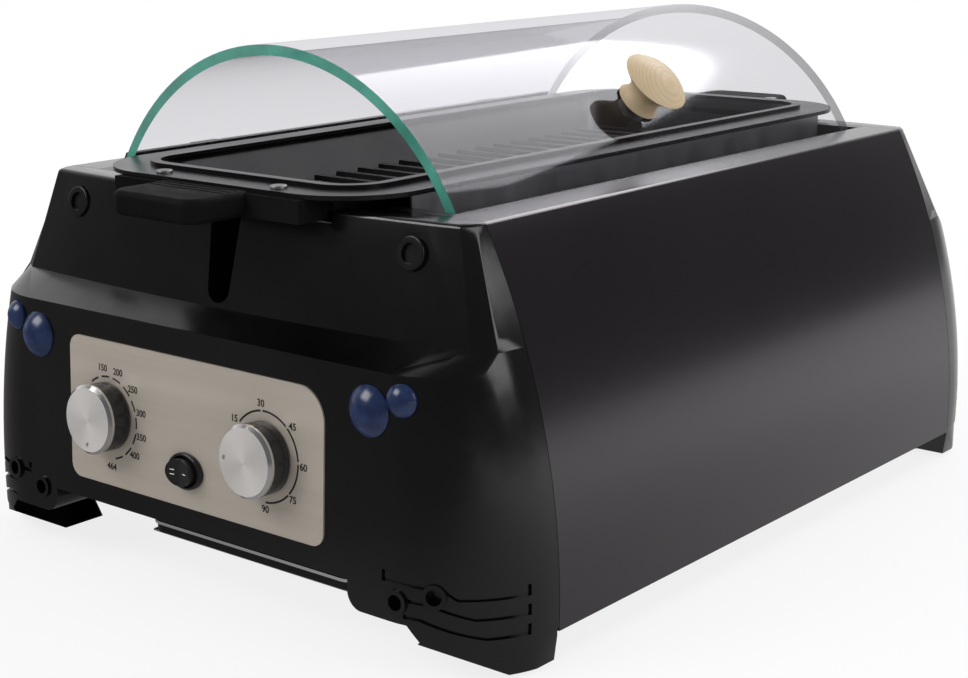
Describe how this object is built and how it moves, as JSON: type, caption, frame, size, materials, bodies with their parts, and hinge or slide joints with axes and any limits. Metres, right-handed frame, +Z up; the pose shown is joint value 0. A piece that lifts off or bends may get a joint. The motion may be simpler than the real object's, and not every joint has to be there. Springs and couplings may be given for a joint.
{
  "type": "rotisserie grill",
  "caption": "Table-top rotisserie grill: long body with a ribbed grill plate under an arched glass lid, spit slot and drive, front control panel and a drip tray that slides out below.",
  "frame": {"origin": "on the floor, under the middle of the body", "axes": "+X to the right seen from the control panel, +Y from the control panel to the back, +Z up"},
  "size_m": [0.418, 0.6, 0.3029],
  "materials": {
    "casing_plastic": "black satin-gloss moulded plastic",
    "panel_paint": "gloss purplish-black paint on sheet steel",
    "zinc_sheet": "zinc-plated sheet steel",
    "foot_rubber": "soft black rubber",
    "rest_rubber": "dark silicone",
    "non_stick": "matt black non-stick coating on cast aluminium",
    "handle_plastic": "matt black heat-proof plastic",
    "rivet_steel": "bright steel",
    "control_steel": "warm brushed stainless steel",
    "knob_plastic": "smooth dark grey plastic",
    "knob_aluminium": "spun aluminium with a bright chamfer",
    "spindle_steel": "plated steel",
    "switch_plastic": "gloss black plastic",
    "lens_plastic": "clear blue plastic",
    "inner_plastic": "black phenolic plastic",
    "motor_case": "plated steel can",
    "element_sheath": "oxidised dark steel tube",
    "tray_steel": "thin steel sheet",
    "lid_clear": "clear toughened glass, green at the edges",
    "beech": "pale turned beech",
    "lid_screw_steel": "bright steel",
    "washer_rubber": "grey silicone",
    "hinge_metal": "black painted steel",
    "pin_steel": "bright steel"
  },
  "bodies": {
    "chassis": {"front_casing": "casing_plastic", "rear_casing": "casing_plastic", "front_screw_caps": "casing_plastic", "rear_screw_caps": "casing_plastic", "side_panel_right": "panel_paint", "side_panel_left": "panel_paint", "front_bulkhead": "zinc_sheet", "rear_bulkhead": "zinc_sheet", "spit_cradle": "zinc_sheet", "chamber_wall_right": "zinc_sheet", "chamber_wall_left": "zinc_sheet", "base_pan": "zinc_sheet", "tray_runners": "zinc_sheet", "element_brackets": "zinc_sheet", "motor_bracket": "zinc_sheet", "lens_clips": "zinc_sheet", "casing_screws": "zinc_sheet", "spindle_nuts": "zinc_sheet", "foot_pads": "foot_rubber", "lid_rest_strip": "rest_rubber", "grill_plate": "non_stick", "grill_handle_front": "handle_plastic", "grill_handle_rear": "handle_plastic", "handle_rivets": "rivet_steel", "control_plate": "control_steel", "switch_housing": "switch_plastic", "lens_large_left": "lens_plastic", "lens_large_right": "lens_plastic", "lens_small_left": "lens_plastic", "lens_small_right": "lens_plastic", "thermostat_body": "inner_plastic", "timer_body": "inner_plastic", "terminal_block": "inner_plastic", "cord_gland": "inner_plastic", "motor_body": "motor_case", "heating_element_right": "element_sheath", "heating_element_left": "element_sheath", "hinge_brackets": "hinge_metal", "hinge_pins": "pin_steel"},
    "lid": {"lid_glass": "lid_clear", "lid_knob": "beech", "lid_knob_screw": "lid_screw_steel", "lid_knob_washers": "washer_rubber", "hinge_channel": "hinge_metal"},
    "tray": {"drip_tray": "tray_steel"},
    "temp_knob": {"temp_knob_body": "knob_plastic", "temp_knob_cap": "knob_aluminium", "temp_spindle": "spindle_steel"},
    "timer_knob": {"timer_knob_body": "knob_plastic", "timer_knob_cap": "knob_aluminium", "timer_spindle": "spindle_steel"},
    "rocker": {"switch_rocker": "switch_plastic"},
    "spit_drive": {"drive_socket": "spindle_steel"}
  },
  "joints": [
    {"name": "lid_hinge", "type": "hinge", "parent": "chassis", "child": "lid", "pos_m": [-0.13355, 0, 0.22893], "axis": [0, -1, 0], "range_deg": [0, 95]},
    {"name": "tray_slide", "type": "slide", "parent": "chassis", "child": "tray", "axis": [0, -1, 0], "range_m": [0, 0.3]},
    {"name": "temp_turn", "type": "hinge", "parent": "chassis", "child": "temp_knob", "pos_m": [-0.0681, -0.27828, 0.096], "axis": [0, 0.9987, -0.051], "range_deg": [-270, 0]},
    {"name": "timer_turn", "type": "hinge", "parent": "chassis", "child": "timer_knob", "pos_m": [0.0586, -0.27828, 0.096], "axis": [0, 0.9987, -0.051], "range_deg": [0, 270]},
    {"name": "rocker_tilt", "type": "hinge", "parent": "chassis", "child": "rocker", "pos_m": [-0.0024, -0.27828, 0.07635], "axis": [0, 0.051, 0.9987], "range_deg": [-12, 12]},
    {"name": "spit_spin", "type": "hinge", "parent": "chassis", "child": "spit_drive", "pos_m": [0, 0.2, 0.175], "axis": [0, 1, 0], "continuous": true}
  ]
}
